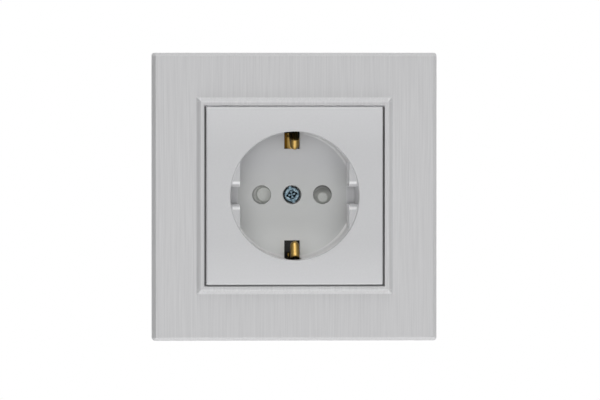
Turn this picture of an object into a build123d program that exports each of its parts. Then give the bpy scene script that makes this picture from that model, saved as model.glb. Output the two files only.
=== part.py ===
from build123d import *
from math import cos, hypot, radians, sin, tan
import os

# Flush wall socket with a round plug recess, side earth clips and a square cover frame.
# Millimetres. X runs right and Z up as seen from the room, Y runs into the wall.
# The origin is the middle of the socket on the wall's surface, y = 0.

# Cover frame
FRAME_WIDTH = 88.4
FRAME_HEIGHT = 89.4
FRAME_DROP = 0.35
FRAME_FACE = -8.0
FRAME_CORNER = 0.9
FRAME_CHAMFER = 1.1
FRAME_WALL = 1.8
MOULDING_RISE = 1.2
BEVEL_WIDTH = 1.3
STRIP_WIDTH = 1.15
STRIP_FALL = 0.1
INSERT_GAP = 0.55
SHELF = -5.5
SHELF_WIDTH = 1.75
RIB_HALF = 0.6
RIB_END = -2.5

# Insert and plug recess
INSERT_WIDTH = 54.9
INSERT_HEIGHT = 55.2
INSERT_FACE = -9.4
INSERT_PLATE = 2.0
INSERT_EDGE = 0.5
INSERT_RIM = 1.6
RECESS_RADIUS = 19.95
RECESS_FLOOR = 8.1
RECESS_LIP = 0.4
FLOOR_FILLET = 1.0
POT_WALL = 1.85
POT_RADIUS = RECESS_RADIUS + POT_WALL
FLOOR_THICKNESS = 2.2
FLOOR_REAR = RECESS_FLOOR + FLOOR_THICKNESS
PIN_RADIUS = 9.5
PIN_HOLE = 2.95
GUIDE_X = 17.05
GUIDE_STEP = 0.7
NOTCH_HALF = 2.75
NOTCH_LEAD = 1.5
WINDOW_HALF = 2.44
WINDOW_START = 14.3
WINDOW_FRONT = -6.4
BOSS_RADIUS = 4.3
PEG_RADIUS = 1.0
PEG_HEAD = 1.6
SCREW_HOLE = 1.7

# Centre screw
HEAD_RADIUS = 2.6
HEAD_SINK = 0.4
HEAD_HEIGHT = 2.3
HEAD_ROUND = 0.6
HEAD_FRONT = RECESS_FLOOR + HEAD_SINK
HEAD_SEAT = HEAD_FRONT + HEAD_HEIGHT
SHANK_RADIUS = 1.45
DRIVER_RADIUS = 1.75
DRIVER_WIDTH = 0.75
DRIVER_DEPTH = 1.6
DRIVER_SINK = 1.3
DRIVER_SINK_DEPTH = 0.4
DRIVER_CORE = 1.15
DRIVER_POINT = 0.3
DRIVER_TURN = 15.0
SLOT_WIDTH = 0.8
SLOT_DEPTH = 0.6

# Shutter and its retainer
SHUTTER_RADIUS = 13.2
SHUTTER_THICKNESS = 2.9
SHUTTER_GAP = 0.2
BOSS_END = FLOOR_REAR + SHUTTER_THICKNESS + 2 * SHUTTER_GAP
SHUTTER_TURN = 36.0
SHUTTER_HOLE = 2.7
SEAT_DEPTH = 1.4
LUG_HALF_ANGLE = 5.0
LUG_RADIUS = SHUTTER_RADIUS + 1.8
PEG_CIRCLE = LUG_RADIUS + 1.5
STOP_PLAY = 0.6
STOP_SWEEP = 5.0
RETAINER_THICKNESS = 1.2
RETAINER_ARM = 2.0
SPRING_RADIUS = 5.3
SPRING_WIRE = 0.25
SPRING_HOLLOW = 2.0
SPRING_OPENING = 30.0

# Blind seats behind the pin holes: x and z off the hole's middle, floor and mouth radius
SEATS = {-1: (0.9, 0.0, 2.1, 2.75), 1: (0.3, -0.9, 1.4, 2.9)}

# Earth bracket
STRAP = 0.8
STRAP_HALF = 4.0
ARM_HALF_WIDTH = 1.4
ARM_THICKNESS = 0.6
ARM_CROWN = 1.1
ARM_X = 0.2
ARM_Z = RECESS_RADIUS - 1.05
ARM_SLOPE = 24.0
LIP_SLOPE = 60.0
ARM_ROOT = FLOOR_REAR + 0.7
NOSE_Y = -3.9
NOSE_Z = 14.55
NOSE_RADIUS = 1.6
TIP_Z_UPPER = 17.2
TIP_Z_LOWER = 18.7
EARTH_X = -6.0
COLLAR_RADIUS = 2.4
COLLAR_LENGTH = 2.9
HOOK_HALF = 2.7
HOOK_THICKNESS = 0.9
HOOK_END = 18.2

# Mounting ring
RING_SIDE = 71.0
RING_CUT = 8.0
RING_THICKNESS = 1.0
FIXING_RADIUS = 30.0
FIXING_HALF_WIDTH = 2.0
FIXING_SWEEP = 12.0
CORNER_HOLE = 1.6
CORNER_SPACING = 56.0
RIVET_RADIUS = 1.5
RIVET_HEAD = 2.4
RIVET_HEAD_HEIGHT = 0.7

# Base block, contacts and terminals
POT_CLEARANCE = 1.4
BASE_WALL = 1.8
BASE_BORE = POT_RADIUS + POT_CLEARANCE
BASE_RADIUS = BASE_BORE + BASE_WALL
RING_OPENING = BASE_BORE - 0.2
BASE_FLOOR = 2.0
BASE_END = 30.4
COVER_THICKNESS = 2.0
RIVET_OUTSET = 2.0
RIVET_CIRCLE = BASE_RADIUS + RIVET_OUTSET
RIVET_BOSS = 2.8
RIVET_BOSS_END = 6.0
SLEEVE_OUTER = 3.3
SLEEVE_INNER = 2.5
SLEEVE_END = 27.0
SLEEVE_GUIDE = 3.5
STRAP_STRIP = 2.5
TAB_HALF = 4.2
TERMINAL_Y = 22.0
WIRE_GAP = 1.8
CLAMP = 1.0
CLAMP_HALF = 3.6
CLAMP_LIP = 0.7
TERMINAL_HEAD = 2.8
TERMINAL_HEAD_HEIGHT = 1.8
TERMINAL_SHANK = 1.7
TERMINAL_SLOT = 1.0
HEAD_ROOM = 1.2
WIRE_ENTRY = 1.5
WIRE_OFFSET = 2.9
COVER_SCREW_X = BASE_BORE - 11.2
COVER_SCREW_Z = -COVER_SCREW_X
COVER_SCREW_SHANK = 1.2
COVER_SCREW_HEAD = 2.2
COVER_SCREW_REACH = 6.5
POST_RADIUS = 2.8

RUN = 0.05
TAB_X = BASE_BORE - HEAD_ROOM - TERMINAL_HEAD_HEIGHT - CLAMP - WIRE_GAP - STRAP
TAB_FACE = TAB_X + STRAP
CLAMP_X = TAB_FACE + WIRE_GAP
HEAD_X = CLAMP_X + CLAMP
BASE_FRONT = BOSS_END + RETAINER_THICKNESS + STRAP
CHAMBER = BASE_FRONT + BASE_FLOOR
COVER_FRONT = BASE_END - COVER_THICKNESS


def block(x0, x1, y0, y1, z0, z1):
    """Block between the given limits."""
    middle = Pos((x0 + x1) / 2, (y0 + y1) / 2, (z0 + z1) / 2)
    return middle * Box(x1 - x0, y1 - y0, z1 - z0)


def rod(radius, y0, y1, x=0.0, z=0.0):
    """Round bar along Y."""
    return Pos(x, (y0 + y1) / 2, z) * Rot(90, 0, 0) * Cylinder(radius, y1 - y0)


def cross_rod(radius, x0, x1, y):
    """Round bar along X."""
    return Pos((x0 + x1) / 2, y, 0) * Rot(0, 90, 0) * Cylinder(radius, x1 - x0)


def tube(outer, inner, y0, y1, x=0.0, z=0.0):
    """Round tube along Y."""
    return rod(outer, y0, y1, x, z) - rod(inner, y0 - 1, y1 + 1, x, z)


def mitred(width0, height0, y0, width1, height1, y1, corner0=0.0, corner1=0.0):
    """Block whose four sides slope between two rectangles and meet in mitres."""
    ends = []
    for width, height, y, corner in ((width0, height0, y0, corner0), (width1, height1, y1, corner1)):
        plane = Plane(origin=(0, y, 0), x_dir=(1, 0, 0), z_dir=(0, 1, 0))
        outline = RectangleRounded(width, height, corner) if corner else Rectangle(width, height)
        ends.append((plane * outline).face())
    return loft(ends)


def rim_tube(wide, high, wall, y0, y1):
    """Rectangular tube along Y from its outer half sizes and its wall."""
    shell = block(-wide, wide, y0, y1, -high, high)
    return shell - block(-wide + wall, wide - wall, y0 - 1, y1 + 1, -high + wall, high - wall)


def around(radius, angle):
    """x and z of a point on a circle about the middle."""
    return radius * cos(radians(angle)), radius * sin(radians(angle))


def sector(inner, outer, y0, y1, start, end):
    """Piece of a flat ring between two angles."""
    steps = 6
    angles = [start + (end - start) * i / steps for i in range(steps + 1)]
    rim = [around(outer, a) for a in angles] + [around(inner, a) for a in reversed(angles)]
    plane = Plane(origin=(0, y0, 0), x_dir=(1, 0, 0), z_dir=(0, -1, 0))
    return extrude(make_face(plane * Polyline(*rim, close=True)), -(y1 - y0))


# Cover frame: moulded shell with a mitred raised moulding and an inner shelf


def frame_shell():
    """Outer shell, hollow at the back, its outline a little lower than its aperture."""
    wide, high = FRAME_WIDTH / 2, FRAME_HEIGHT / 2
    rim, inside = FRAME_FACE + FRAME_CHAMFER, FRAME_FACE + FRAME_WALL
    shell = block(-wide, wide, rim, 0, -high, high)
    shell = fillet(shell.edges().filter_by(Axis.Y), FRAME_CORNER)
    face = FRAME_WIDTH - 2 * FRAME_CHAMFER, FRAME_HEIGHT - 2 * FRAME_CHAMFER
    shell += mitred(FRAME_WIDTH, FRAME_HEIGHT, rim, *face, FRAME_FACE, FRAME_CORNER, 0.25)
    wide, high = wide - FRAME_WALL, high - FRAME_WALL
    shell -= block(-wide, wide, inside, 1, -high, high)
    return Pos(0, 0, -FRAME_DROP) * shell


def cover_frame():
    wide, high = INSERT_WIDTH / 2 + INSERT_GAP, INSERT_HEIGHT / 2 + INSERT_GAP
    aperture = 2 * wide, 2 * high
    crest = [side + 2 * STRIP_WIDTH for side in aperture]
    foot = [side + 2 * BEVEL_WIDTH for side in crest]
    top = FRAME_FACE - MOULDING_RISE
    shell = frame_shell() + mitred(*foot, FRAME_FACE, *crest, top)
    shell -= mitred(*crest, top, *aperture, top + STRIP_FALL)

    # collar round the insert, the shelf it sits on and the skirt down to the ring
    shelf_back = SHELF + FRAME_WALL
    shell += rim_tube(wide + FRAME_WALL, high + FRAME_WALL, FRAME_WALL, top + STRIP_FALL + 0.5, shelf_back)
    shell -= block(-wide, wide, top - 1, SHELF, -high, high)
    shell += rim_tube(wide + RUN, high + RUN, SHELF_WIDTH + RUN, SHELF, -RING_THICKNESS)

    # stiffening ribs across the hollow underside
    inside = FRAME_FACE + FRAME_WALL
    inner_x, inner_z = wide + FRAME_WALL / 2, high + FRAME_WALL / 2
    outer_x, outer_z = (FRAME_WIDTH - FRAME_WALL) / 2, (FRAME_HEIGHT - FRAME_WALL) / 2
    for place in (-FRAME_WIDTH / 6, FRAME_WIDTH / 6):
        for side in (-1, 1):
            x0, x1 = sorted((side * inner_x, side * outer_x))
            z0, z1 = sorted((side * inner_z, side * outer_z - FRAME_DROP))
            shell += block(x0, x1, inside - 0.5, RIB_END, place - RIB_HALF, place + RIB_HALF)
            shell += block(place - RIB_HALF, place + RIB_HALF, inside - 0.5, RIB_END, z0, z1)
    return shell


# Insert: square plate, plug recess with guides, pin holes and earth windows in one moulding


def recess_hollow():
    """The plug recess: rounded lip, straight wall and rounded floor edge."""
    r, lip, fil = RECESS_RADIUS, RECESS_LIP, FLOOR_FILLET
    diagonal = cos(radians(45))
    lip_mid = (r + lip - lip * diagonal, INSERT_FACE + lip - lip * diagonal)
    fil_mid = (r - fil + fil * diagonal, RECESS_FLOOR - fil + fil * diagonal)
    outline = [
        Line((0, INSERT_FACE - 1), (r + lip, INSERT_FACE - 1)),
        Line((r + lip, INSERT_FACE - 1), (r + lip, INSERT_FACE)),
        ThreePointArc((r + lip, INSERT_FACE), lip_mid, (r, INSERT_FACE + lip)),
        Line((r, INSERT_FACE + lip), (r, RECESS_FLOOR - fil)),
        ThreePointArc((r, RECESS_FLOOR - fil), fil_mid, (r - fil, RECESS_FLOOR)),
        Line((r - fil, RECESS_FLOOR), (0, RECESS_FLOOR)),
        Line((0, RECESS_FLOOR), (0, INSERT_FACE - 1)),
    ]
    return revolve(make_face(outline), Axis.Y)


def guide(side):
    """Flat guide beside the pins, split by a groove with sloping lead-ins."""
    front = INSERT_FACE + GUIDE_STEP
    reach = RECESS_RADIUS + 0.5
    x0, x1 = sorted((side * GUIDE_X, side * (reach + 0.5)))
    solid = block(x0, x1, front, RECESS_FLOOR + 1, -reach, reach) & rod(reach, front, RECESS_FLOOR + 1)
    mouth = NOTCH_HALF + NOTCH_LEAD
    profile = Polyline(
        (front - 0.1, -mouth - 0.1),
        (front + NOTCH_LEAD, -NOTCH_HALF),
        (RECESS_FLOOR, -NOTCH_HALF),
        (RECESS_FLOOR, NOTCH_HALF),
        (front + NOTCH_LEAD, NOTCH_HALF),
        (front - 0.1, mouth + 0.1),
        close=True,
    )
    groove = extrude(make_face(Plane.YZ * profile), (reach + 1) * side)
    return solid - (groove & rod(RECESS_RADIUS, front - 1, RECESS_FLOOR))


def socket_insert():
    wide, high = INSERT_WIDTH / 2, INSERT_HEIGHT / 2
    back = INSERT_FACE + INSERT_PLATE
    plate = block(-wide, wide, INSERT_FACE, back, -high, high)
    plate = fillet(plate.edges().filter_by(Axis.Y), 0.6)
    plate = fillet(plate.edges().group_by(Axis.Y)[0], INSERT_EDGE)
    insert = plate + rim_tube(wide, high, INSERT_RIM, back - 0.2, SHELF)
    insert += rod(POT_RADIUS, back - 0.2, FLOOR_REAR)

    # gussets from the pot towards the corners of the plate
    for angle in (45, 135, 225, 315):
        rib = block(POT_RADIUS - 0.5, wide * 1.2, back - 0.2, SHELF + 2.5, -RIB_HALF, RIB_HALF)
        insert += Rot(0, -angle, 0) * rib

    insert -= recess_hollow()
    for side in (-1, 1):
        insert += guide(side)

    # pin holes, screw seat and its boss
    insert += rod(BOSS_RADIUS, FLOOR_REAR - 0.2, BOSS_END)
    insert -= rod(PIN_HOLE, RECESS_FLOOR - 1, HEAD_SEAT)
    insert -= rod(SCREW_HOLE, HEAD_SEAT - 1, BOSS_END + 1)
    for side in (-1, 1):
        insert -= rod(PIN_HOLE, RECESS_FLOOR - 1, FLOOR_REAR + 1, side * PIN_RADIUS)

    # earth windows through floor and wall
    for side in (-1, 1):
        z0, z1 = sorted((side * WINDOW_START, side * (POT_RADIUS + 1)))
        insert -= block(-WINDOW_HALF, WINDOW_HALF, WINDOW_FRONT, FLOOR_REAR + 1, z0, z1)

    # pegs that hold the retainer, and stops for the shutter's lugs
    for angle in (45, 135, 225, 315):
        x, z = around(PEG_CIRCLE, angle)
        rear = BOSS_END + RETAINER_THICKNESS
        insert += rod(PEG_RADIUS, FLOOR_REAR - 0.2, rear, x, z)
        insert += rod(PEG_HEAD, rear, rear + 0.5, x, z)
    for lug in (0, 180):
        near = lug + LUG_HALF_ANGLE + STOP_PLAY
        far = lug - LUG_HALF_ANGLE - SHUTTER_TURN - STOP_PLAY
        inner, outer = SHUTTER_RADIUS + 0.4, LUG_RADIUS + 1
        for start in (near, far - STOP_SWEEP):
            insert += sector(inner, outer, FLOOR_REAR - 0.2, BOSS_END - 0.3, start, start + STOP_SWEEP)
    return insert


# Shutter with its spring and retainer behind the recess floor


def shutter():
    front = FLOOR_REAR + SHUTTER_GAP
    rear = BOSS_END - SHUTTER_GAP
    disc = tube(SHUTTER_RADIUS, BOSS_RADIUS + 2 * RUN, front, rear)
    for lug in (0, 180):
        ends = lug - LUG_HALF_ANGLE, lug + LUG_HALF_ANGLE
        disc += sector(SHUTTER_RADIUS - 0.5, LUG_RADIUS, front, rear, *ends)
    for side, (x, z, floor, mouth) in SEATS.items():
        seat = Rot(90, 0, 0) * Cone(floor, mouth, SEAT_DEPTH)
        disc -= Pos(side * PIN_RADIUS + x, front + SEAT_DEPTH / 2 - 0.01, z) * seat
        disc -= rod(SHUTTER_HOLE, front - 1, rear + 1, *around(side * PIN_RADIUS, SHUTTER_TURN))

    # hollow for the spring's ring and a slot for its leg
    hollow = rear - SPRING_HOLLOW
    disc -= tube(SPRING_RADIUS + 1.0, BOSS_RADIUS, hollow, rear + 1)
    slot = SPRING_WIRE + 3 * RUN
    disc -= block(-slot, slot, hollow, rear + 1, SPRING_RADIUS, SPRING_RADIUS + 3)
    return disc


def spring_end():
    """x and z of the spring's leg that stands in the retainer."""
    return around(SPRING_RADIUS, 93 + SPRING_OPENING + STOP_SWEEP)


def shutter_spring():
    """Open ring of flat wire: one end bent out into the shutter, one back into the retainer."""
    inner, outer = SPRING_RADIUS - SPRING_WIRE, SPRING_RADIUS + SPRING_WIRE
    front = BOSS_END - SHUTTER_GAP - 1.2
    rear = front + 2 * SPRING_WIRE
    ring = tube(outer, inner, front, rear)
    ring -= sector(inner - 0.3, outer + 0.3, front - 1, front + 1, 95, 95 + SPRING_OPENING)
    ring += block(-SPRING_WIRE, SPRING_WIRE, front, rear, SPRING_RADIUS, SPRING_RADIUS + 2.2)
    x, z = spring_end()
    leg = front, BOSS_END + 0.8
    return ring + block(x - SPRING_WIRE, x + SPRING_WIRE, *leg, z - SPRING_WIRE, z + SPRING_WIRE)


def shutter_retainer():
    rear = BOSS_END + RETAINER_THICKNESS
    plate = rod(SHUTTER_RADIUS - 0.2, BOSS_END, rear)
    for angle in (45, 135, 225, 315):
        arm = block(SHUTTER_RADIUS - 3, PEG_CIRCLE, BOSS_END, rear, -RETAINER_ARM, RETAINER_ARM)
        x, z = around(PEG_CIRCLE, angle)
        plate += Rot(0, -angle, 0) * arm + rod(RETAINER_ARM, BOSS_END, rear, x, z)
        plate -= rod(PEG_RADIUS + RUN, BOSS_END - 1, rear + 1, x, z)
    for side in (-1, 1):
        plate -= rod(PIN_HOLE, BOSS_END - 1, rear + 1, side * PIN_RADIUS)
    plate -= rod(SCREW_HOLE, BOSS_END - 1, rear + 1)
    return plate - rod(2 * SPRING_WIRE, BOSS_END - 1, rear + 1, *spring_end())


# Centre screw and earth bracket


def driver_recess():
    """Slotted cross recess sunk along +Y from y = 0: tapered cross, square sink, cone and slot."""
    wide, narrow = 2 * DRIVER_RADIUS, 1.2 * DRIVER_RADIUS
    arm = mitred(wide, DRIVER_WIDTH, -0.01, narrow, 0.6 * DRIVER_WIDTH, 0.8 * DRIVER_DEPTH)
    sink = mitred(2 * DRIVER_SINK, 2 * DRIVER_SINK, -0.01, DRIVER_CORE, DRIVER_CORE, DRIVER_SINK_DEPTH)
    core = Pos(0, DRIVER_DEPTH / 2, 0) * Rot(90, 0, 0) * Cone(DRIVER_POINT, DRIVER_CORE, DRIVER_DEPTH)
    half = SLOT_WIDTH / 2
    slot = block(-half, half, -0.01, SLOT_DEPTH, -HEAD_RADIUS, HEAD_RADIUS)
    return arm + Rot(0, 90, 0) * arm + Rot(0, 45, 0) * sink + core + slot


def centre_screw():
    head = rod(HEAD_RADIUS, HEAD_FRONT, HEAD_SEAT)
    head = fillet(head.edges().group_by(Axis.Y)[0], HEAD_ROUND)
    head -= Pos(0, HEAD_FRONT, 0) * Rot(0, -DRIVER_TURN, 0) * driver_recess()
    return head + rod(SHANK_RADIUS, HEAD_SEAT - 0.2, BASE_FRONT + COLLAR_LENGTH + 1.5)


def strip_outline(path, thickness):
    """Closed outline of a bent strip about its middle line, mitred at each bend."""
    normals = []
    for (a0, b0), (a1, b1) in zip(path, path[1:]):
        length = hypot(a1 - a0, b1 - b0)
        normals.append(((b0 - b1) / length, (a1 - a0) / length))
    sides = ([], [])
    for i, (a, b) in enumerate(path):
        (ua, ub), (va, vb) = normals[max(i - 1, 0)], normals[min(i, len(normals) - 1)]
        reach = thickness / 2 / (1 + ua * va + ub * vb)
        sides[0].append((a + (ua + va) * reach, b + (ub + vb) * reach))
        sides[1].append((a - (ua + va) * reach, b - (ub + vb) * reach))
    return sides[0] + sides[1][::-1]


def spring_arm(tip):
    """Upper arm: a crowned strip swept along leg, slope, rounded nose and lead-in lip."""
    slope, lip = radians(ARM_SLOPE), radians(LIP_SLOPE)
    centre = NOSE_Z + NOSE_RADIUS
    run = (ARM_Z - centre + NOSE_RADIUS * cos(slope)) / sin(slope)
    bend_y = NOSE_Y + NOSE_RADIUS * sin(slope) + run * cos(slope)
    reach, lean = NOSE_RADIUS / cos((slope + lip) / 2), (lip - slope) / 2
    nose_y, nose_z = NOSE_Y - reach * sin(lean), centre - reach * cos(lean)
    end = (nose_y - (tip - nose_z) / tan(lip), tip)
    corners = [(ARM_ROOT + 1, ARM_Z), (bend_y, ARM_Z), (nose_y, nose_z), end]
    path = Plane.YZ * FilletPolyline(*corners, radius=NOSE_RADIUS)

    half, foot, rise = ARM_HALF_WIDTH, ARM_HALF_WIDTH - ARM_THICKNESS, ARM_THICKNESS / 2
    section = [
        ThreePointArc((-half, ARM_CROWN), (0, -rise), (half, ARM_CROWN)),
        Line((half, ARM_CROWN), (foot, ARM_CROWN)),
        ThreePointArc((foot, ARM_CROWN), (0, rise), (-foot, ARM_CROWN)),
        Line((-foot, ARM_CROWN), (-half, ARM_CROWN)),
    ]
    start = Plane(origin=(0, ARM_ROOT + 1, ARM_Z), x_dir=(1, 0, 0), z_dir=(0, -1, 0))
    return sweep(start * make_face(section), path)


def earth_bracket():
    front = BASE_FRONT - STRAP
    middle = BASE_FRONT - STRAP / 2
    bend = [(middle, ARM_Z - 1.0), (middle - 0.3, ARM_Z - 0.3), (middle - 1.0, ARM_Z), (ARM_ROOT, ARM_Z)]
    outline = strip_outline([(y, -z) for y, z in reversed(bend)] + bend, STRAP)
    arms = extrude(make_face(Plane.YZ * Polyline(*outline, close=True)), ARM_HALF_WIDTH, both=True)
    arms += spring_arm(TIP_Z_UPPER) + mirror(spring_arm(TIP_Z_LOWER), Plane.XY)
    strap = Pos(ARM_X, 0, 0) * arms
    strap += block(-STRAP_HALF, STRAP_HALF, front, BASE_FRONT, -3 * STRAP_HALF, 3 * STRAP_HALF)
    strap += block(-0.7 * STRAP_HALF, -1.0, front, BASE_FRONT, STRAP_HALF, ARM_Z + 0.3)

    # threaded collar for the centre screw
    strap += rod(COLLAR_RADIUS, front, BASE_FRONT + COLLAR_LENGTH)
    strap -= rod(SHANK_RADIUS + RUN, front - 1, BASE_FRONT + COLLAR_LENGTH + 1)

    # side lug bent back to carry the earth terminal
    x0, x1 = EARTH_X - TAB_HALF, EARTH_X + TAB_HALF
    strap += block(x0, -1.0, front, BASE_FRONT, WINDOW_START + 0.2, TAB_FACE)
    strap += block(x0, x1, front, SLEEVE_END - 0.5, TAB_X, TAB_FACE)
    bore = cross_rod(TERMINAL_SHANK + RUN, TAB_X - 1, TAB_X + 2, TERMINAL_Y)
    return strap - at_terminal("earth", bore)


# Terminals: each is made pointing along +X and turned to its side of the base

TERMINALS = {"live": (180, 0.0), "neutral": (0, 0.0), "earth": (-90, EARTH_X)}


def at_terminal(name, solid):
    """Turn a solid made along +X to the named terminal's place."""
    turn, shift = TERMINALS[name]
    return Pos(shift, 0, 0) * Rot(0, turn, 0) * solid


def terminal_screw():
    head = cross_rod(TERMINAL_HEAD, HEAD_X, HEAD_X + TERMINAL_HEAD_HEIGHT, TERMINAL_Y)
    head = chamfer(head.edges().group_by(Axis.X)[-1], 0.3)
    crown = HEAD_X + TERMINAL_HEAD_HEIGHT
    reach = TERMINAL_HEAD + 1
    slot = block(crown - TERMINAL_SLOT, crown + 1, TERMINAL_Y - reach, TERMINAL_Y + reach, -0.4, 0.4)
    shank = cross_rod(TERMINAL_SHANK, TAB_X - 2.0, HEAD_X + 0.2, TERMINAL_Y)
    return head - slot + shank


def clamp_plate():
    y0, y1 = TERMINAL_Y - CLAMP_HALF, TERMINAL_Y + CLAMP_HALF
    plate = block(CLAMP_X, HEAD_X, y0, y1, -CLAMP_HALF, CLAMP_HALF)
    for side in (-1, 1):
        z0, z1 = sorted((side * CLAMP_HALF, side * (CLAMP_HALF + CLAMP_LIP)))
        plate += block(CLAMP_X - CLAMP, HEAD_X, y0, y1, z0, z1)
    return plate - cross_rod(TERMINAL_SHANK + 0.15, CLAMP_X - 1, HEAD_X + 1, TERMINAL_Y)


def contact():
    """Split sleeve for a pin, with a strap to its terminal tab."""
    sleeve = rod(SLEEVE_OUTER, CHAMBER, SLEEVE_END, PIN_RADIUS)
    strap_front = SLEEVE_END - STRAP
    solid = sleeve + block(PIN_RADIUS, TAB_FACE, strap_front, SLEEVE_END, -STRAP_STRIP, STRAP_STRIP)
    solid += block(TAB_X, TAB_FACE, CHAMBER + 0.4, SLEEVE_END, -TAB_HALF, TAB_HALF)
    solid -= rod(SLEEVE_INNER, CHAMBER - 1, SLEEVE_END + 1, PIN_RADIUS)
    slit = block(PIN_RADIUS - 0.4, PIN_RADIUS + 0.4, CHAMBER - 1, strap_front - 2, -5, 5)
    solid -= slit
    return solid - cross_rod(TERMINAL_SHANK + RUN, TAB_X - 1, TAB_FACE + 1, TERMINAL_Y)


# Base block, rear cover and their screws


def base_block():
    base = tube(BASE_RADIUS, BASE_BORE, 0, BASE_END)
    base += rod(BASE_BORE + 0.2, BASE_FRONT, CHAMBER)
    for angle in (45, 135, 225, 315):
        x, z = around(RIVET_CIRCLE, angle)
        boss = rod(RIVET_BOSS, 0, RIVET_BOSS_END, x, z) - rod(BASE_BORE, -1, RIVET_BOSS_END + 1)
        base += boss
        base -= rod(RIVET_RADIUS + RUN, -1, RIVET_BOSS_END + 1, x, z)

    # guides round the contacts and the bracket's collar, posts for the cover screws
    guide_end = CHAMBER + SLEEVE_GUIDE
    base += rod(COLLAR_RADIUS + BASE_WALL, CHAMBER - 0.2, guide_end)
    base -= rod(COLLAR_RADIUS + 0.2, BASE_FRONT - 1, guide_end + 1)
    for side in (-1, 1):
        x = side * PIN_RADIUS
        base += tube(SLEEVE_OUTER + 1.1, SLEEVE_OUTER + 0.2, CHAMBER - 0.2, guide_end, x)
        base -= rod(SLEEVE_INNER + 0.1, BASE_FRONT - 1, CHAMBER + 0.1, x)
        post = side * COVER_SCREW_X
        bottom = COVER_FRONT - COVER_SCREW_REACH - 0.5
        base += rod(POST_RADIUS, CHAMBER - 0.2, COVER_FRONT, post, COVER_SCREW_Z)
        base -= rod(COVER_SCREW_SHANK + RUN, bottom, BASE_END, post, COVER_SCREW_Z)

    # passages to the terminal screws, and the slot for the bracket's lug
    for name in TERMINALS:
        passage = cross_rod(TERMINAL_HEAD + 0.6, HEAD_X + 0.5, BASE_RADIUS + 1, TERMINAL_Y)
        base -= at_terminal(name, passage)
    x0, x1 = EARTH_X - TAB_HALF - 0.2, EARTH_X + TAB_HALF + 0.2
    base -= block(x0, x1, BASE_FRONT - 0.1, CHAMBER + 1, TAB_X - 0.2, TAB_FACE + 0.2)

    # hook over the bracket's strap behind the lower window
    rear = BASE_FRONT - STRAP - 0.2
    front = rear - HOOK_THICKNESS
    inner = SHUTTER_RADIUS + 0.7
    base += block(-HOOK_HALF, HOOK_HALF - ARM_HALF_WIDTH, front, rear, -HOOK_END, -inner)
    post = ARM_X - ARM_HALF_WIDTH - 0.2
    return base + block(-HOOK_HALF, post, front, BASE_FRONT + 0.2, -HOOK_END, -inner)


def rear_cover():
    cover = rod(BASE_BORE - 0.15, COVER_FRONT, BASE_END)
    for side in (-1, 1):
        post = side * COVER_SCREW_X
        cover += rod(1.5, SLEEVE_END, COVER_FRONT + 0.2, side * (PIN_RADIUS + 5))
        cover -= rod(COVER_SCREW_SHANK + 0.2, COVER_FRONT - 1, BASE_END + 1, post, COVER_SCREW_Z)
    middle = TAB_FACE + WIRE_GAP / 2
    for name in TERMINALS:
        for side in (-1, 1):
            entry = rod(WIRE_ENTRY, COVER_FRONT - 1, BASE_END + 1, middle, side * WIRE_OFFSET)
            cover -= at_terminal(name, entry)
    return cover


def cover_screw(side):
    x = side * COVER_SCREW_X
    head = rod(COVER_SCREW_HEAD, BASE_END, BASE_END + 1.4, x, COVER_SCREW_Z)
    head = chamfer(head.edges().group_by(Axis.Y)[-1], 0.3)
    head -= block(x - 3, x + 3, BASE_END + 0.7, BASE_END + 2, COVER_SCREW_Z - 0.3, COVER_SCREW_Z + 0.3)
    return head + rod(COVER_SCREW_SHANK, COVER_FRONT - COVER_SCREW_REACH, BASE_END + 0.2, x, COVER_SCREW_Z)


# Mounting ring and the rivets that join it to the base


def mounting_ring():
    half = RING_SIDE / 2
    ring = block(-half, half, -RING_THICKNESS, 0, -half, half)
    ring = chamfer(ring.edges().filter_by(Axis.Y), RING_CUT)
    ring -= rod(RING_OPENING, -2, 1)
    for angle in (0, 90, 180, 270):
        ends = (angle - FIXING_SWEEP, angle + FIXING_SWEEP)
        inner, outer = FIXING_RADIUS - FIXING_HALF_WIDTH, FIXING_RADIUS + FIXING_HALF_WIDTH
        ring -= sector(inner, outer, -2, 1, *ends)
        for end in ends:
            ring -= rod(FIXING_HALF_WIDTH, -2, 1, *around(FIXING_RADIUS, end))
    spot = CORNER_SPACING / 2
    for angle in (45, 135, 225, 315):
        ring -= rod(RIVET_RADIUS + RUN, -2, 1, *around(RIVET_CIRCLE, angle))
    for x in (-spot, spot):
        for z in (-spot, spot):
            ring -= rod(CORNER_HOLE, -2, 1, x, z)
    return ring


def ring_rivet(angle):
    x, z = around(RIVET_CIRCLE, angle)
    front = rod(RIVET_HEAD, -RING_THICKNESS - RIVET_HEAD_HEIGHT, -RING_THICKNESS, x, z)
    front = chamfer(front.edges().group_by(Axis.Y)[0], 0.3)
    rear = rod(RIVET_HEAD - 0.5, RIVET_BOSS_END, RIVET_BOSS_END + RIVET_HEAD_HEIGHT, x, z)
    return front + rod(RIVET_RADIUS, -RING_THICKNESS - 0.1, RIVET_BOSS_END + 0.1, x, z) + rear


parts = {
    "cover_frame": cover_frame(),
    "socket_insert": socket_insert(),
    "centre_screw": centre_screw(),
    "shutter": shutter(),
    "shutter_spring": shutter_spring(),
    "shutter_retainer": shutter_retainer(),
    "earth_bracket": earth_bracket(),
    "mounting_ring": mounting_ring(),
    "base_block": base_block(),
    "rear_cover": rear_cover(),
    "cover_screw_left": cover_screw(-1),
    "cover_screw_right": cover_screw(1),
}
for name in TERMINALS:
    parts[f"terminal_screw_{name}"] = at_terminal(name, terminal_screw())
    parts[f"clamp_plate_{name}"] = at_terminal(name, clamp_plate())
for name in ("live", "neutral"):
    parts[f"contact_{name}"] = at_terminal(name, contact())
for number, angle in enumerate((45, 135, 225, 315), start=1):
    parts[f"ring_rivet_{number}"] = ring_rivet(angle)

os.makedirs("parts", exist_ok=True)
for name, part in parts.items():
    export_step(part, f"parts/{name}.step")
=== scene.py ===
import math

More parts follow.
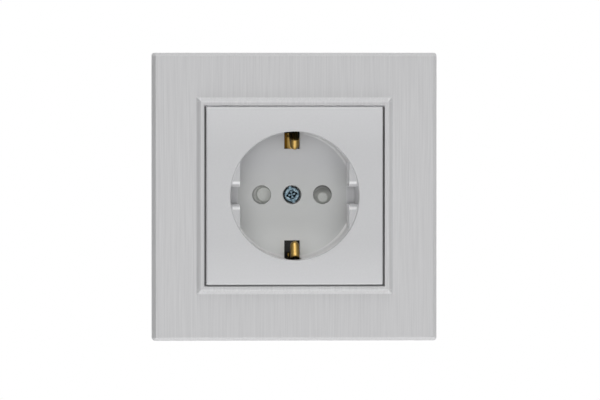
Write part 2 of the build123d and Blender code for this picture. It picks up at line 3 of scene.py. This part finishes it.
import bpy
import numpy as np
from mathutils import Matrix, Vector


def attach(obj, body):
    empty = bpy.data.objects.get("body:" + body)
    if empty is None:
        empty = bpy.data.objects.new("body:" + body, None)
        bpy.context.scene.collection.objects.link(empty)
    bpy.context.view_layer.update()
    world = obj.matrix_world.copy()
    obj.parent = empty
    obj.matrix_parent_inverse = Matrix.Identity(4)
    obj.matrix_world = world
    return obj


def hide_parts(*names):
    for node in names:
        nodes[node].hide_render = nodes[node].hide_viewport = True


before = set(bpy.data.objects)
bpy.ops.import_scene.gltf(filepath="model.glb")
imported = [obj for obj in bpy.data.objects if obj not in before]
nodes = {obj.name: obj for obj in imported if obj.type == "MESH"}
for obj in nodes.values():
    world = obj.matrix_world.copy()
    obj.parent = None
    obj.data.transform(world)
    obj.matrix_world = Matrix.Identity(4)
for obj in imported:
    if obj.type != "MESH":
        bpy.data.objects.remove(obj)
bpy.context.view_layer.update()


# Mounting ring: sheet steel, punched and zinc plated, screwed to the wall box.
# Four solid rivets of the same steel hold the base to it.
# Colours here and below are linear, and y runs into the wall.

GRAIN_CONTRAST = 2.4
GRAIN_HEIGHT = 0.0001


class Wire:
    """A socket in a node tree. Arithmetic on it adds Math nodes."""

    def __init__(self, tree, socket=None):
        self.tree = tree
        self.socket = socket

    def add(self, kind, settings=None, values=None, out=0):
        """Adds a node: its settings first, then its sockets' values or links, and returns one output."""
        node = self.tree.nodes.new(kind)
        for key, value in (settings or {}).items():
            setattr(node, key, value)
        for key, value in (values or {}).items():
            if isinstance(value, Wire):
                self.tree.links.new(value.socket, node.inputs[key])
            else:
                node.inputs[key].default_value = value
        return Wire(self.tree, node.outputs[out])

    def maths(self, operation, a, b):
        """One Math node on two values."""
        return self.add("ShaderNodeMath", {"operation": operation}, {0: a, 1: b})

    def __add__(self, other):
        return self.maths("ADD", self, other)

    def __radd__(self, other):
        return self.maths("ADD", other, self)

    def __sub__(self, other):
        return self.maths("SUBTRACT", self, other)

    def __rsub__(self, other):
        return self.maths("SUBTRACT", other, self)

    def __mul__(self, other):
        return self.maths("MULTIPLY", self, other)

    def __rmul__(self, other):
        return self.maths("MULTIPLY", other, self)

    def __neg__(self):
        return self * -1.0

    def __abs__(self):
        return self.maths("ABSOLUTE", self, 0.0)

    def clamped(self, low, high):
        """max(min(v, high), low)."""
        return self.maths("MAXIMUM", self.maths("MINIMUM", self, high), low)

    def rising(self, start, soft):
        """min(max((v - start) / soft, 0), 1): 0 up to start, 1 from start + soft on."""
        return ((self - start) * (1.0 / soft)).clamped(0.0, 1.0)

    def within(self, low, high, soft):
        """1 between low and high, falling to 0 over soft on either side."""
        return self.rising(low - soft, soft) - self.rising(high, soft)

    def distance(self, other):
        """sqrt(v² + w²)."""
        return self.maths("POWER", self * self + other * other, 0.5)

    def scaled(self, factor):
        """This colour times a value."""
        return self.add("ShaderNodeVectorMath", {"operation": "SCALE"}, {0: self, "Scale": factor})

    def mixed(self, first, second):
        """Blend of two colours by this value: first at 0, second at 1."""
        first, second = (end if isinstance(end, Wire) else (*end, 1.0) for end in (first, second))
        values = {"Factor": self.clamped(0.0, 1.0), 6: first, 7: second}
        return self.add("ShaderNodeMix", {"data_type": "RGBA"}, values, out=2)


def grain(wire, stretch, scale, detail=3.0):
    """Noise in the piece's own coordinates, stretched along each axis; runs 0 to 1 about 0.5."""
    place = wire.add("ShaderNodeTexCoord", out=3)
    mapped = wire.add("ShaderNodeMapping", None, {"Vector": place, "Scale": stretch})
    return wire.add("ShaderNodeTexNoise", None, {"Vector": mapped, "Scale": scale, "Detail": detail})


def millimetres(wire):
    """The piece's own X, Y and Z in millimetres."""
    place = wire.add("ShaderNodeTexCoord", out=3).scaled(1000.0)
    return [wire.add("ShaderNodeSeparateXYZ", None, {0: place}, out=axis) for axis in range(3)]


def material(
    name, low, high, roughness, metallic=0.0,
    stretch=(1, 1, 1), scale=400.0, bump=0.0, spread=0.0, shade=None,
):
    """Finish whose colour runs from low to high with a grain that also moves roughness and bump.
    shade(colour, x, y, z) may change that colour by place.
    """
    made = bpy.data.materials.new(name)
    made.use_nodes = True
    tree = made.node_tree
    shader = tree.nodes["Principled BSDF"]
    shader.inputs["Metallic"].default_value = metallic
    wire = Wire(tree)
    noise = grain(wire, stretch, scale)
    contrast = (noise - 0.5) * GRAIN_CONTRAST + 0.5
    colour = contrast.mixed(low, high)
    if shade:
        colour = shade(colour, *millimetres(wire))
    tree.links.new(colour.socket, shader.inputs["Base Color"])
    rough = (noise - 0.5) * spread + roughness
    tree.links.new(rough.socket, shader.inputs["Roughness"])
    if bump:
        values = {"Height": noise, "Strength": bump, "Distance": GRAIN_HEIGHT}
        relief = wire.add("ShaderNodeBump", None, values)
        tree.links.new(relief.socket, shader.inputs["Normal"])
    return made


def dress(names, finish):
    """Gives CAD nodes their finish."""
    for name in names:
        slots = nodes[name].data.materials
        slots.clear()
        slots.append(finish)


zinc = material(
    "zinc_steel", (0.50, 0.51, 0.53), (0.66, 0.66, 0.66), 0.38,
    metallic=0.9, scale=900, bump=0.15, spread=0.2,
)
rivets = [f"ring_rivet_{n}" for n in range(1, 5)]
dress(["mounting_ring", *rivets], zinc)


# Base block: pressed thermoset, nearly black, with a fine matt skin.
# Its rear cover is a grey moulding held by two slotted screws.

thermoset = material(
    "base_black", (0.010, 0.010, 0.010), (0.018, 0.018, 0.018), 0.6,
    scale=1500, bump=0.2, spread=0.15,
)
moulded = material(
    "cover_grey", (0.10, 0.10, 0.11), (0.13, 0.13, 0.14), 0.5,
    scale=1500, bump=0.15, spread=0.1,
)
dress(["base_block"], thermoset)
dress(["rear_cover"], moulded)
dress(["cover_screw_left", "cover_screw_right"], zinc)


# Contacts and earth bracket: stamped brass strip, bent and left bright.
# The bracket's strap lies behind the recess, and its two arms stand in the windows.

# x in mm: the top of the arms' round backs, and where the strap beside them begins
CROWN_X = (0.05, 0.25)
STRAP_X = 1.0
# painted highlight for the arms' crown and painted shade for the strap deep in the window
CROWN_HIGHLIGHT_BRASS = (0.76, 0.50, 0.16)
STRAP_SHADE_BRASS = (0.10, 0.050, 0.006)


def brass_shade(colour, x, y, z):
    """Painted highlight along the arms' crown, painted shade on their sides and on the strap beside
    them.
    """
    crown = x.within(*CROWN_X, 0.55) * (0.45 + z.rising(0.0, 1.0) * 0.55)
    highlight_and_shade = crown.mixed(colour.scaled(0.55), CROWN_HIGHLIGHT_BRASS)
    strap = (-x).rising(STRAP_X, 0.25)
    return strap.mixed(highlight_and_shade, STRAP_SHADE_BRASS)


rolled = {
    "low": (0.44, 0.29, 0.08), "high": (0.58, 0.39, 0.13), "roughness": 0.42, "metallic": 1.0,
    "stretch": (1, 1, 0.1), "scale": 2500, "bump": 0.1, "spread": 0.2,
}
dress(["contact_live", "contact_neutral"], material("brass", **rolled))
dress(["earth_bracket"], material("earth_brass", shade=brass_shade, **rolled))


# Terminals: zinc-plated slotted screws, each with a pressed clamp plate that it draws
# down on the wire.

for pole in ("live", "neutral", "earth"):
    dress([f"terminal_screw_{pole}", f"clamp_plate_{pole}"], zinc)


# Shutter: grey moulding that turns behind the pin holes, with a blind seat behind each.
# An open ring of flat wire turns it back, and a grey retainer keeps both in place.

# mm: the pin holes' distance from the middle, and the depths of the shutter's front and seat
PIN_X = 9.5
SHUTTER_FRONT = 10.55
SEAT_FLOOR = 11.5


def shutter_shade(colour, x, y, z):
    """Painted shade at each pin hole's edge and over the right seat, painted light on the seats'
    bottoms.
    """
    edge = (abs(x) - PIN_X).distance(z).rising(2.2, 0.7) * (1 - y.rising(SHUTTER_FRONT, 0.1))
    right = x.rising(0.0, 1.0)
    colour = colour.scaled(1 - edge * 0.5)
    seat = y.rising(SHUTTER_FRONT + 0.01, 0.1) * 0.28 + right * y.rising(SEAT_FLOOR, 0.3) * 0.3
    colour = colour.scaled(1 + seat)
    return colour.scaled(1 - right * (0.2 + z.rising(0.0, 2.2) * 0.45))


shutter_grey = material(
    "shutter_grey", (0.47, 0.48, 0.46), (0.50, 0.51, 0.49), 0.45,
    scale=1200, bump=0.08, spread=0.1, shade=shutter_shade,
)
retainer_grey = material(
    "inner_plastic", (0.46, 0.46, 0.45), (0.50, 0.50, 0.49), 0.5,
    scale=1200, bump=0.08, spread=0.1,
)
spring_steel = material(
    "spring_steel", (0.36, 0.36, 0.38), (0.48, 0.48, 0.50), 0.3,
    metallic=1.0, scale=1800, spread=0.1,
)
dress(["shutter"], shutter_grey)
dress(["shutter_retainer"], retainer_grey)

# mm, and degrees anticlockwise from +X as seen from the front
SPRING_RADIUS = 5.3
SPRING_DEPTH = 12.45
SPRING_ENDS = (125.0, 455.0)
ANCHOR_TURN = math.radians(128.0)
ANCHOR_END = 14.4
LEG_END = 7.5
WIRE_HALF = 0.25
WIRE_ROUND = 0.08
BENT_STEPS = 111
STRAIGHT_STEPS = 4


def flat_wire(path, across):
    """Closed shell of flat wire along path (n, 3), its width along across (n, 3); both in mm.
    Each ring has the 8 points p + a * u + b * (u x t), where p and u are of path and across,
    t is the path's direction and (a, b) are the corners of a bevelled square.
    """
    along = np.gradient(path, axis=0)
    along /= np.linalg.norm(along, axis=1, keepdims=True)
    up = np.cross(across, along)
    flat = WIRE_HALF - WIRE_ROUND
    side = np.array([(WIRE_HALF, -flat), (WIRE_HALF, flat)])
    quarters = ((1, 0), (0, 1), (-1, 0), (0, -1))
    corners = np.concatenate([side @ np.array([(c, s), (-s, c)]) for c, s in quarters])
    rings = path[:, None] + corners[:, :1] * across[:, None] + corners[:, 1:] * up[:, None]
    here = np.arange(8)
    beside = (here + 1) % 8
    first = 8 * np.arange(len(path) - 1)[:, None]
    walls = np.stack([first + here, first + 8 + here, first + 8 + beside, first + beside], axis=2)
    caps = [here.tolist(), (8 * len(path) - 1 - here).tolist()]
    return rings.reshape(-1, 3) * 0.001, walls.reshape(-1, 4).tolist() + caps


def wire_piece(name, shells, body):
    """Piece of several wire shells that rides on a body in place of the plain spring."""
    points = np.concatenate([shell for shell, _ in shells])
    starts = np.cumsum([0] + [len(shell) for shell, _ in shells])
    faces = [[start + i for i in face] for start, (_, walls) in zip(starts, shells) for face in walls]
    mesh = bpy.data.meshes.new(name)
    mesh.from_pydata(points, [], faces)
    mesh.materials.append(spring_steel)
    piece = bpy.data.objects.new(name, mesh)
    bpy.context.collection.objects.link(piece)
    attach(piece, body)
    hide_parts("shutter_spring")


# the ring lies round the screw's boss: one end bends back into the retainer, the other
# outwards on the shutter
turns = np.radians(np.linspace(*SPRING_ENDS, BENT_STEPS))
outward = np.stack([np.cos(turns), np.zeros(BENT_STEPS), np.sin(turns)], axis=1)
sideways = np.tile((1.0, 0.0, 0.0), (STRAIGHT_STEPS, 1))
ring = flat_wire(outward * SPRING_RADIUS + (0, SPRING_DEPTH, 0), outward)
root = SPRING_RADIUS * np.array((math.cos(ANCHOR_TURN), 0.0, math.sin(ANCHOR_TURN)))
inward = np.outer(np.linspace(SPRING_DEPTH, ANCHOR_END, STRAIGHT_STEPS), (0, 1, 0))
anchor = flat_wire(root + inward, sideways)
wire_piece("spring_ring", [ring, anchor], "socket")
upward = np.outer(np.linspace(SPRING_RADIUS, LEG_END, STRAIGHT_STEPS), (0, 0, 1))
leg = flat_wire(upward + (0, SPRING_DEPTH, 0), sideways)
wire_piece("spring_leg", [leg], "shutter")


# Insert: moulded plate and plug recess in one, with a satin silver lacquer. It sits in the
# frame's opening, and the centre screw draws it against the base.

# where the tones change, in mm: the plate, the side guides with their groove, the recess
PLATE_BACK = -8.9
PLATE_HALF = 27.0
LEFT_EDGE = 27.3
RIGHT_EDGE = 27.15
GUIDE_X = 16.95
GUIDE_FRONT = -7.3
FLAT_X = (16.9, 17.1)
FLAT_Y = (-8.4, 6.0)
SILL_Z = (2.72, 2.85)
SILL_Y = (-6.9, 7.0)
GROOVE_HALF = 2.6
GROOVE_FRONT = -8.5
LEAD_Z = (3.8, 4.05)
LEAD_MIDDLE = 0.07
RECESS_RADIUS = 19.6
POT_RADIUS = 18.95
POT_FRONT = -8.8
FLOOR_Y = 7.0
PIN_HOLE = 3.05
PIN_WALL = 8.15

# painted highlight on the lead-ins, painted light on the recess wall and left edge, and painted light on
# the floor: lighter below than above, with a faint blue above
LEAD_HIGHLIGHT_SILVER = (0.86, 0.86, 0.87)
PAINTED_LIGHT_SILVER = (0.95, 0.95, 0.95)
FLOOR_LOWER_LIT = (0.530, 0.541, 0.533)
FLOOR_UPPER_SHADED = (0.482, 0.488, 0.500)


def plate_shade(colour, x, y, z):
    """Plate face: painted light, a little darker in the middle band, brighter towards top and bottom."""
    face = 1 - y.rising(PLATE_BACK, 0.2)
    plate_light = abs(z).rising(15.0, 12.0) * 0.11 + abs(z).rising(PLATE_HALF, 0.1) * 0.1
    return colour.scaled(1 + face * (plate_light - 0.035))


def guides(x, y, z):
    """1 on the two side guides, that is beyond their flats and inside the recess's circle."""
    inside = 1 - x.distance(z).rising(RECESS_RADIUS, 0.15)
    return abs(x).rising(GUIDE_X, 0.08) * inside * y.rising(PLATE_BACK, 0.2)


def guide_shade(colour, x, y, z):
    """Side guides: painted shade on fronts, painted highlights on lead-ins, painted light on flats,
    sills, groove end.
    """
    front = guides(x, y, z) * (1 - y.rising(GUIDE_FRONT, 0.1))
    colour = colour.scaled(1 - front * 0.15)
    lead = front * abs(z - LEAD_MIDDLE).within(*LEAD_Z, 0.5)
    colour = lead.mixed(colour, LEAD_HIGHLIGHT_SILVER)
    flat = abs(x).within(*FLAT_X, 0.1) * abs(z).rising(2.8, 0.1) * y.within(*FLAT_Y, 0.5)
    colour = colour.scaled(1 + flat * 0.6)
    sill = abs(x).rising(17.0, 0.1) * abs(z).within(*SILL_Z, 0.04) * y.within(*SILL_Y, 0.3)
    colour = colour.scaled(1 + sill * 0.6)
    groove = (1 - abs(z).rising(GROOVE_HALF, 0.1)) * y.rising(GROOVE_FRONT, 0.5)
    end = x.rising(0.0, 1.0) * x.distance(z).rising(RECESS_RADIUS, 0.2)
    return colour.scaled(1 + groove * (end * 0.45 - abs(x).rising(17.0, 0.5) * 0.1))


def recess_shade(colour, x, y, z):
    """Recess: painted light and shade, floor lighter below, wall lighter below and right, dark pin
    holes.
    """
    floor = z.rising(2.0, 8.0).mixed(FLOOR_LOWER_LIT, FLOOR_UPPER_SHADED)
    low = (-z).rising(7.0, 11.0)
    floor = floor.scaled(1 - abs(x).rising(11.0, 6.0) * 0.07 + low * low * 0.62)
    colour = (y.rising(FLOOR_Y, 0.9) * (1 - guides(x, y, z)) * 0.85).mixed(colour, floor)
    wall = x.distance(z).rising(POT_RADIUS, 0.45) * y.rising(POT_FRONT, 0.3)
    wall = wall * (1 - abs(x).rising(FLAT_X[0], 0.2))
    light = 0.1 + x.rising(-5.0, 15.0) * 0.45 + (-z).rising(-5.0, 15.0)
    colour = (wall * light).mixed(colour, PAINTED_LIGHT_SILVER)
    hole = (1 - (abs(x) - PIN_X).distance(z).rising(PIN_HOLE, 0.05)) * y.rising(PIN_WALL, 0.1)
    return colour.scaled(1 - hole * 0.5)


def insert_shade(colour, x, y, z):
    """Plate, guides and recess, with painted light on the left edge and painted shade on the right one.
    """
    for shade in (plate_shade, guide_shade, recess_shade):
        colour = shade(colour, x, y, z)
    left = (-x).rising(LEFT_EDGE, 0.08) * y.rising(-9.2, 0.15)
    return left.mixed(colour, PAINTED_LIGHT_SILVER).scaled(1 - x.rising(RIGHT_EDGE, 0.1) * 0.45)


insert_silver = material(
    "insert_silver", (0.580, 0.583, 0.595), (0.600, 0.603, 0.615), 0.36,
    scale=1600, bump=0.03, spread=0.06, shade=insert_shade,
)
dress(["socket_insert"], insert_silver)


# Centre screw: steel with a cross recess and blue zinc plating, sunk in the recess floor.
# It holds the insert and the frame on the base.

# mm: the rounded rim, the field with painted glints and the depths of the cross
RIM_RADIUS = 2.2
GLINT_RADIUS = 1.95
CROSS_Y = (8.95, 9.9)
GLINT_SILVER = (0.15, 0.19, 0.21)
RIM_SHEEN_SILVER = (0.17, 0.21, 0.225)
CROSS_SHADE_SILVER = (0.070, 0.102, 0.122)


def screw_shade(colour, x, y, z):
    """Painted glints beside the cross, painted shade down in it and a painted sheen on the rim."""
    radius = x.distance(z)
    glint_lobes = abs(x * z).rising(0.7, 0.4) * (1 - radius.rising(GLINT_RADIUS, 0.15))
    glints = glint_lobes * grain(x, (1, 1, 1), 2200).rising(0.5, 0.06)
    colour = glints.mixed(colour, GLINT_SILVER)
    colour = radius.rising(RIM_RADIUS, 0.2).mixed(colour, RIM_SHEEN_SILVER)
    return y.within(*CROSS_Y, 0.15).mixed(colour, CROSS_SHADE_SILVER)


blue_zinc = material(
    "zinc_screw", (0.014, 0.026, 0.035), (0.10, 0.14, 0.165), 0.32,
    metallic=1.0, scale=1800, bump=0.3, spread=0.3, shade=screw_shade,
)
dress(["centre_screw"], blue_zinc)


# Cover frame: moulded frame with silver lacquer over fine upright brush lines. Its raised
# moulding runs round the opening, and a shelf behind the opening carries the insert's edge.

# where the tones change, in mm: the outline's bevel, the moulding, the joint round the insert
OUTLINE_DROP = 0.35
BEVEL_Z = 43.55
BEVEL_X = 43.05
MOULDING_Z = (28.9, 30.4)
CREST_X = (29.0, 29.5)
CREST_Z = (29.05, 29.35)
CREST_BACK = -8.2
JOINT_Y = (-8.9, -5.7)
JOINT_HALF = 27.5
OPENING = 28.1
SHELF_X = (27.0, 27.93)
SHELF_Z = (27.0, 28.08)
BRINK_X = (28.0, 28.15)
WALL_X = (27.97, 28.05)
WALL_Z = (28.1, 28.2)
UPPER_Z = (27.8, 28.2)


def strip(across, along, edges, length, soft):
    """1 on a strip beside the opening: across between its edges, |along| up to length."""
    return across.within(*edges, soft) * (1 - abs(along).rising(length, 0.1))


def joint_shade(colour, x, y, z):
    """Joint: painted shade on the side and lower shelf and left brink, painted light on walls and upper
    shelf.
    """
    height = (z + JOINT_HALF).rising(0.0, 2 * JOINT_HALF)
    front, back = JOINT_Y
    shelf = strip(abs(x), z, SHELF_X, 27.7, 0.04) * y.rising(back, 0.1)
    lower = strip(-z, x, SHELF_Z, 27.9, 0.04) * y.rising(back, 0.1)
    brink = strip(-x, z, BRINK_X, OPENING, 0.03) * (1 - y.rising(front, 0.1))
    dark = (1 - shelf * (0.5 + height * 0.4)) * (1 - brink * 0.6) * (1 - lower * 0.5)
    wall = strip(abs(x), z, WALL_X, OPENING, 0.03) + (-z).within(*WALL_Z, 0.03)
    wall = wall.clamped(0.0, 1.0) * (1 - abs(x).rising(OPENING, 0.1)) * y.within(front, back, 0.1)
    upper = strip(z, x, UPPER_Z, 28.0, 0.05) * y.rising(front - 0.1, 0.1)
    bright = (1 + wall * 0.65) * (1 + upper * 1.1)
    return colour.scaled(dark * bright)


def frame_shade(colour, x, y, z):
    """Bevels lit from above and the right, painted highlights on moulding and crest, and the joint."""
    edge = abs(z + OUTLINE_DROP).rising(BEVEL_Z, 0.15) * 0.18
    edge = edge + x.rising(BEVEL_X, 0.15) * 0.06 - (-x).rising(BEVEL_X, 0.15) * 0.07
    moulding = abs(z).within(*MOULDING_Z, 0.1) * (abs(z) - abs(x)).rising(0.0, 0.1)
    crest = abs(z).within(*CREST_Z, 0.05) + abs(x).within(*CREST_X, 0.05)
    crest = crest.clamped(0.0, 1.0) * (1 - y.rising(CREST_BACK, 0.1))
    return joint_shade(colour.scaled(1 + edge + moulding * 0.1 + crest * 0.1), x, y, z)


frame_silver = material(
    "frame_silver", (0.530, 0.530, 0.540), (0.600, 0.600, 0.608), 0.34,
    stretch=(1, 1, 0.02), scale=2600, bump=0.05, spread=0.08, shade=frame_shade,
)
dress(["cover_frame"], frame_silver)


# Studio: pale floor under the object that fades to white and is clear from below, white
# surroundings, and soft lamps from the front, above, below, the right and behind.

# the floor's place and half size in metres, and where it starts and how far it fades in mm
FLOOR_DROP = 0.15
FLOOR_HALF = 0.6
FADE = (120.0, 380.0)


def seen(tree):
    """1 for rays that look at a thing, straight, mirrored or refracted, 0 for those that light it."""
    rays = tree.nodes.new("ShaderNodeLightPath").outputs
    names = ("Is Camera Ray", "Is Glossy Ray", "Is Transmission Ray")
    straight, mirrored, refracted = (Wire(tree, rays[name]) for name in names)
    return (straight + mirrored + refracted).clamped(0.0, 1.0)


floor_white = bpy.data.materials.new("floor_white")
floor_white.use_nodes = True
tree = floor_white.node_tree
tree.nodes["Principled BSDF"].inputs["Base Color"].default_value = (0.9, 0.9, 0.9, 1)
wire = Wire(tree)
x, y, z = millimetres(wire)
glow = 0.5 + x.distance(y).rising(*FADE) * 0.5
white = wire.add("ShaderNodeEmission", None, {"Color": (1, 1, 1, 1), "Strength": 1.0})
matt = Wire(tree, tree.nodes["Principled BSDF"].outputs[0])
upside = wire.add("ShaderNodeMixShader", None, {0: glow * seen(tree), 1: matt, 2: white})
backfacing = wire.add("ShaderNodeNewGeometry", out=6)
clear = wire.add("ShaderNodeBsdfTransparent")
surface = wire.add("ShaderNodeMixShader", None, {0: backfacing, 1: upside, 2: clear})
tree.links.new(surface.socket, tree.nodes["Material Output"].inputs["Surface"])

plane = FLOOR_HALF * np.array([(-1, -1), (1, -1), (1, 1), (-1, 1)])
corners = np.column_stack([plane, np.full(4, -FLOOR_DROP)])
floor_mesh = bpy.data.meshes.new("floor")
floor_mesh.from_pydata(corners, [], [(0, 1, 2, 3)])
floor_mesh.materials.append(floor_white)
floor = bpy.data.objects.new("floor", floor_mesh)
bpy.context.collection.objects.link(floor)
floor.visible_shadow = False

world = bpy.data.worlds.new("studio")
bpy.context.scene.world = world
world.use_nodes = True
background = world.node_tree.nodes["Background"]
AMBIENT = 0.10
strength = seen(world.node_tree) * (1 - AMBIENT) + AMBIENT
world.node_tree.links.new(strength.socket, background.inputs["Strength"])
background.inputs["Color"].default_value = (1, 1, 1, 1)

# each lamp: where it shines from, its strength and its softness in degrees
LAMPS = {
    "front_left": ((-0.25, -1.0, 0.0), 0.70, 30),
    "front_right": ((0.25, -1.0, 0.0), 0.49, 30),
    "above": ((0.0, -0.3, 1.0), 1.04, 30),
    "below": ((0.0, -0.3, -1.0), 0.96, 30),
    "right": ((1.0, -0.2, 0.0), 0.52, 60),
    "behind": ((0.5, 1.0, 0.1), 0.7, 30),
}
for name, (source, strength, softness) in LAMPS.items():
    lamp = bpy.data.lights.new(name, "SUN")
    lamp.energy = strength
    lamp.angle = math.radians(softness)
    holder = bpy.data.objects.new(name, lamp)
    holder.rotation_euler = Vector(source).to_track_quat("Z", "Y").to_euler()
    bpy.context.collection.objects.link(holder)


# Camera: long lens from 2 m away, slightly left of and above the socket's axis. The shift
# puts the socket a little up and left of the picture's middle.

AZIMUTH = math.radians(-2.9)
ELEVATION = math.radians(1.2)
DISTANCE = 2.0
INSERT_FACE = Vector((0, -0.0094, 0))
level = math.cos(ELEVATION)
back = Vector((math.sin(AZIMUTH) * level, -math.cos(AZIMUTH) * level, math.sin(ELEVATION)))
lens = bpy.data.cameras.new("camera")
lens.lens = 387
lens.sensor_width = 36
lens.shift_x = 0.0086
lens.shift_y = -0.0070
lens.clip_end = 20
camera = bpy.data.objects.new("camera", lens)
camera.location = INSERT_FACE + back * DISTANCE
camera.rotation_euler = (-back).to_track_quat("-Z", "Y").to_euler()
bpy.context.collection.objects.link(camera)
bpy.context.scene.camera = camera
bpy.context.scene.view_settings.view_transform = "Standard"
